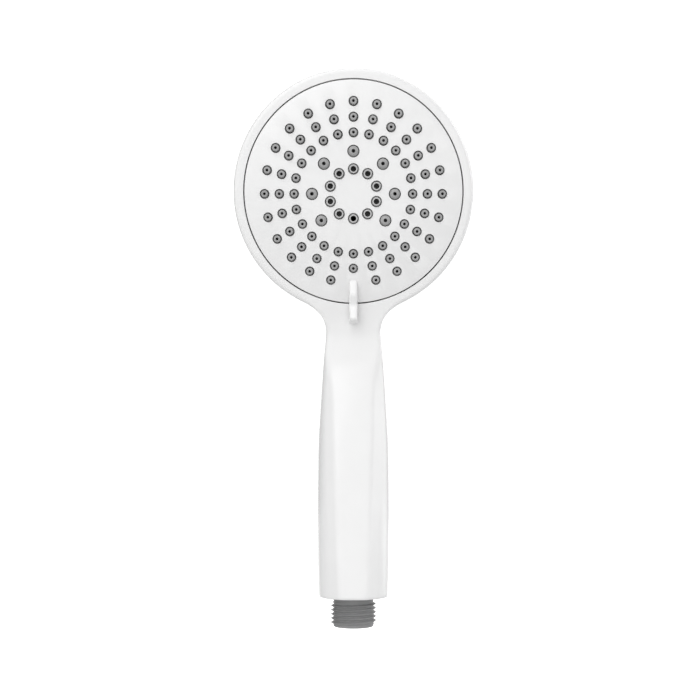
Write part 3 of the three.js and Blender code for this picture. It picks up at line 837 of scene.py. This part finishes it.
WHITE = moulded("white_gloss", grey(0.74), grey(0.76), 0.24, grain=(900, 0.003), coat=0.3)
INLET_GREY = moulded("inlet_grey", grey(0.2, 0.005), grey(0.23, 0.005), 0.42, grain=(2500, 0.01))
SILICONE = moulded("silicone_grey", grey(0.30), grey(0.34), 0.5, grain=(3500, 0.01))
JET_GREY = moulded("jet_grey", grey(0.43), grey(0.48), 0.4, grain=(3000, 0.006))
DARK_PLASTIC = moulded("dark_plastic", grey(0.05), grey(0.07), 0.45, grain=(1500, 0.02))
LIGHT_PLASTIC = moulded("light_plastic", grey(0.5), grey(0.56), 0.4, grain=(1500, 0.02))
RUBBER = moulded("rubber_black", grey(0.012), grey(0.02), 0.65, grain=(3000, 0.02))
STEEL = moulded("steel", grey(0.55), grey(0.65), 0.28, grain=(1200, 0.01), metallic=1.0)


def give(item, look):
    item.data.materials.clear()
    item.data.materials.append(look)


NODE_LOOKS = {
    "white_shell": WHITE,
    "grey_inlet": INLET_GREY,
    "grey_silicone": SILICONE,
    "light_grey_plastic": LIGHT_PLASTIC,
    "dark_acetal": DARK_PLASTIC,
    "black_rubber": RUBBER,
    "steel": STEEL,
}

for part in frame["record"]["subparts"]:
    give(frame["nodes"][part["node"]], NODE_LOOKS[part["material_slot"]])


def add(piece, look, body, node):
    give(piece, look)
    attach(piece, body)
    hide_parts(node)


add(shell(), WHITE, "body", "body_shell")
add(face_plate(), WHITE, "spray_face", "face_plate")
add(nozzle_mat(), SILICONE, "spray_face", "nozzle_mat")
add(jet_disc(), JET_GREY, "spray_face", "centre_jet_disc")
add(lever(), WHITE, "spray_face", "selector_lever")
add(inlet(), INLET_GREY, "body", "inlet_tube")
add(valve_spring(), STEEL, "body", "check_valve_spring")


# Floor, lights and camera

# Bearing from the back of the object, clockwise, and the studio's brightness there
STUDIO = [
    (-180, 1.25), (-150, 1.2), (-128, 0.9), (-102, 0.8), (-80, 0.1), (-40, 0.1),
    (-31, 1.25), (31, 1.25), (35, 0.3), (50, 0.3), (60, 1.7), (104, 1.6),
    (116, 0.35), (150, 0.35), (168, 1.2), (180, 1.25),
]
FLOOR_SIZE = 40.0
FLOOR_HEIGHT = -0.5
LIGHT_TARGET = (0, 0, 0.15)


def studio_brightness(nodes, links, place):
    """The studio's brightness in the direction of a place seen from the object."""
    split = nodes.new("ShaderNodeSeparateXYZ")
    bearing = nodes.new("ShaderNodeMath")
    bearing.operation = "ARCTAN2"
    share = nodes.new("ShaderNodeMapRange")
    share.inputs["From Min"].default_value = -math.pi
    share.inputs["From Max"].default_value = math.pi
    bands = nodes.new("ShaderNodeValToRGB")
    links.new(place, split.inputs["Vector"])
    links.new(split.outputs["X"], bearing.inputs[0])
    links.new(split.outputs["Y"], bearing.inputs[1])
    links.new(bearing.outputs["Value"], share.inputs["Value"])
    links.new(share.outputs["Result"], bands.inputs["Fac"])
    for _ in STUDIO[2:]:
        bands.color_ramp.elements.new(0.5)
    for element, (angle, value) in zip(bands.color_ramp.elements, STUDIO):
        element.position = (angle + 180) / 360
        element.color = (value, value, value, 1)
    return bands.outputs["Color"]


def floor():
    """A pale floor that brightens far away, to meet the studio's walls."""
    corners = [(-1, -1), (1, -1), (1, 1), (-1, 1)]
    points = [(x * FLOOR_SIZE, y * FLOOR_SIZE, FLOOR_HEIGHT) for x, y in corners]
    mesh = bpy.data.meshes.new("floor")
    mesh.from_pydata(points, [], [(0, 1, 2, 3)])
    made = bpy.data.objects.new("floor", mesh)
    bpy.context.scene.collection.objects.link(made)
    look, nodes, links = material("floor")
    shader = nodes["Principled BSDF"]
    shader.inputs["Base Color"].default_value = (0.68, 0.68, 0.68, 1)
    shader.inputs["Roughness"].default_value = 0.9
    shader.inputs["Emission Color"].default_value = (1, 1, 1, 1)
    coordinates = nodes.new("ShaderNodeTexCoord")
    split = nodes.new("ShaderNodeSeparateXYZ")
    reach = nodes.new("ShaderNodeMath")
    reach.operation = "ABSOLUTE"
    rise = nodes.new("ShaderNodeMapRange")
    rise.inputs["From Min"].default_value = 1.0
    rise.inputs["From Max"].default_value = 2.2
    rise.inputs["To Max"].default_value = 0.85
    glow = nodes.new("ShaderNodeMath")
    glow.operation = "MULTIPLY"
    links.new(coordinates.outputs["Object"], split.inputs["Vector"])
    links.new(split.outputs["Y"], reach.inputs[0])
    links.new(reach.outputs["Value"], rise.inputs["Value"])
    links.new(rise.outputs["Result"], glow.inputs[0])
    links.new(studio_brightness(nodes, links, coordinates.outputs["Object"]), glow.inputs[1])
    links.new(glow.outputs["Value"], shader.inputs["Emission Strength"])
    made.data.materials.append(look)


def world():
    """A soft studio: its light changes with the direction round the object."""
    made = bpy.data.worlds.new("studio")
    bpy.context.scene.world = made
    made.use_nodes = True
    nodes, links = made.node_tree.nodes, made.node_tree.links
    coordinates = nodes.new("ShaderNodeTexCoord")
    brightness = studio_brightness(nodes, links, coordinates.outputs["Generated"])
    links.new(brightness, nodes["Background"].inputs["Color"])


def area_light(name, place, size, power):
    """A round soft light that points at the middle of the shower head."""
    data = bpy.data.lights.new(name, "AREA")
    data.shape = "DISK"
    data.size = size
    data.energy = power
    made = bpy.data.objects.new(name, data)
    made.location = place
    made.rotation_euler = (Vector(LIGHT_TARGET) - Vector(place)).to_track_quat("-Z", "Y").to_euler()
    bpy.context.scene.collection.objects.link(made)


def camera():
    data = bpy.data.cameras.new("camera")
    data.lens = 35
    data.sensor_width = 36
    data.shift_x = -0.0008
    data.shift_y = 0.0008
    made = bpy.data.objects.new("camera", data)
    made.location = (-0.00135, -0.3371, 0.0469)
    made.rotation_euler = (math.radians(104.1), 0, 0)
    bpy.context.scene.collection.objects.link(made)
    bpy.context.scene.camera = made


floor()
world()
area_light("key", (-0.6, -1.35, 0.9), size=1.7, power=8.2)
area_light("side", (1.4, -0.5, 0.9), size=1.2, power=3.8)
camera()
bpy.context.scene.view_settings.view_transform = "Standard"
